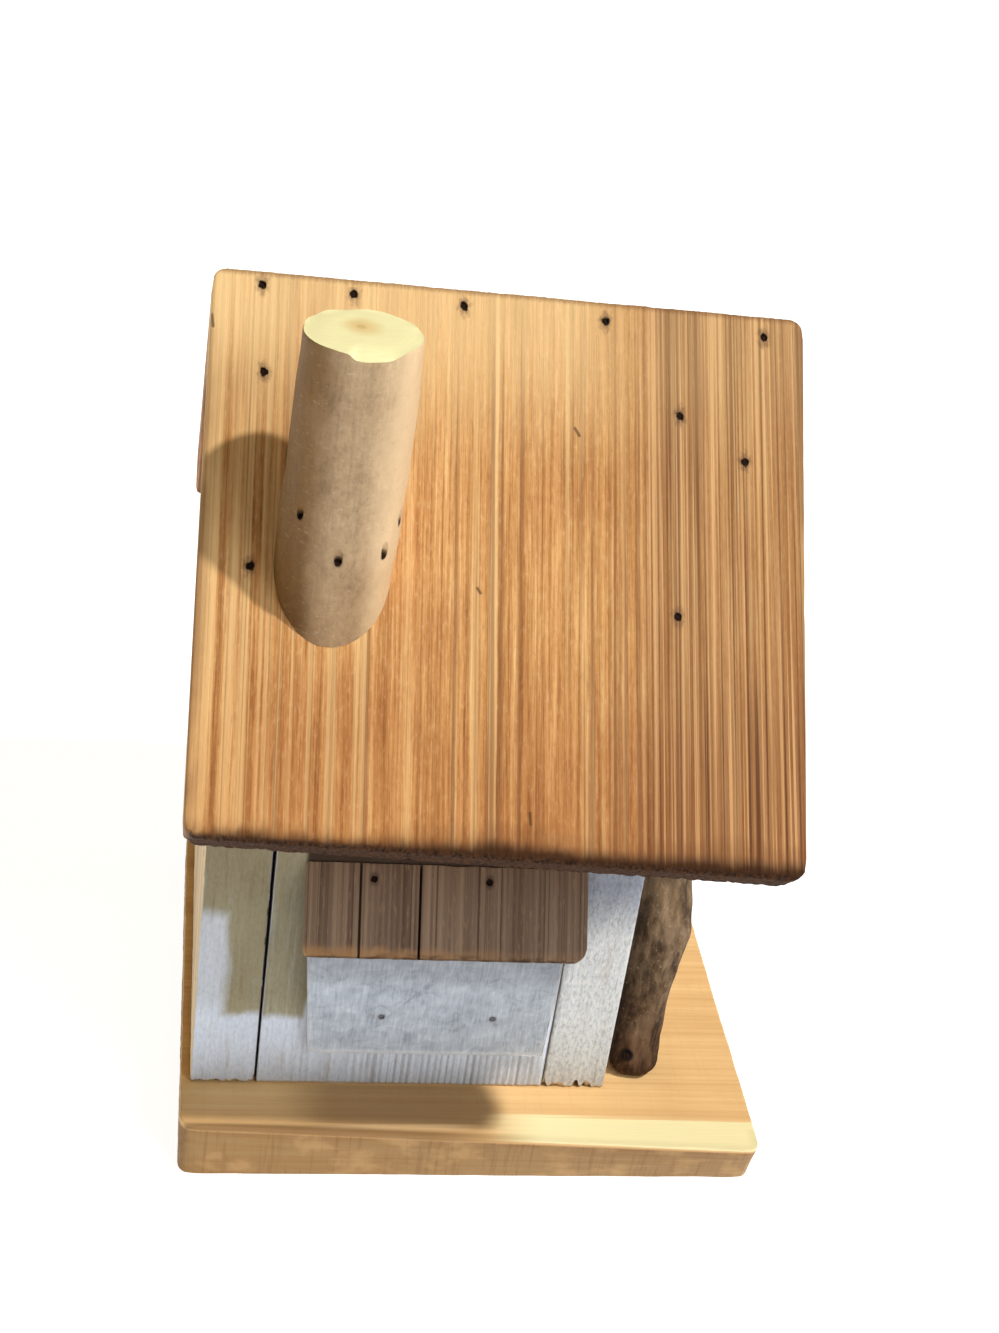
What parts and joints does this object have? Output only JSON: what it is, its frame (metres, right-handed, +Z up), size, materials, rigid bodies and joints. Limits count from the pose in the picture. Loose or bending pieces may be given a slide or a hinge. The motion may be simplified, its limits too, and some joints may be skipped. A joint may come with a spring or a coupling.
{
  "type": "birdhouse",
  "caption": "Rustic gable-roofed birdhouse on a wide base board, with a branch chimney, a bark porch post, a small awning, an entrance hole and a swivelling clean-out cover.",
  "frame": {"origin": "centre of the base board's flat underside", "axes": "+Z up, the front wall with the entrance faces -Y, +X to the right of someone who looks at the front"},
  "size_m": [0.2154, 0.2671, 0.311],
  "materials": {
    "base_wood": "bare pine, a little yellow sapwood along the front",
    "whitewashed_wood": "thin white paint, brushed over rough-sawn grain",
    "roof_cedar": "oiled cedar with strong straight grain",
    "peeled_branch": "smooth peeled branch, weathered grey-tan",
    "bark": "rough bark",
    "painted_shingle": "thick white paint with brush texture",
    "stained_wood": "dark stain, weathered",
    "cover_wood": "bare pine",
    "screw_steel": "zinc plated",
    "nail_steel": "dark, lightly rusted"
  },
  "bodies": {
    "house": {"base_board": "base_wood", "left_wall": "whitewashed_wood", "right_wall": "whitewashed_wood", "front_wall": "whitewashed_wood", "rear_wall": "whitewashed_wood", "front_roof_board": "roof_cedar", "rear_roof_board": "roof_cedar", "chimney": "peeled_branch", "porch_post": "bark", "door_panel": "painted_shingle", "awning": "stained_wood", "cover_screw": "screw_steel", "cover_washer": "screw_steel", "ridge_nails": "nail_steel", "front_roof_nails": "nail_steel", "rear_roof_nails": "nail_steel", "post_top_nail": "nail_steel", "post_foot_nail": "nail_steel", "chimney_nails": "nail_steel", "awning_nails": "nail_steel", "door_panel_nails": "nail_steel", "left_wall_nails": "nail_steel", "right_wall_nails": "nail_steel", "base_nails": "nail_steel"},
    "cover": {"cleanout_cover": "cover_wood"}
  },
  "joints": [
    {"name": "cover_swing", "type": "hinge", "parent": "house", "child": "cover", "pos_m": [-0.0254, 0.0868, 0.118], "axis": [0, 1, 0], "range_deg": [-115, 115]}
  ]
}
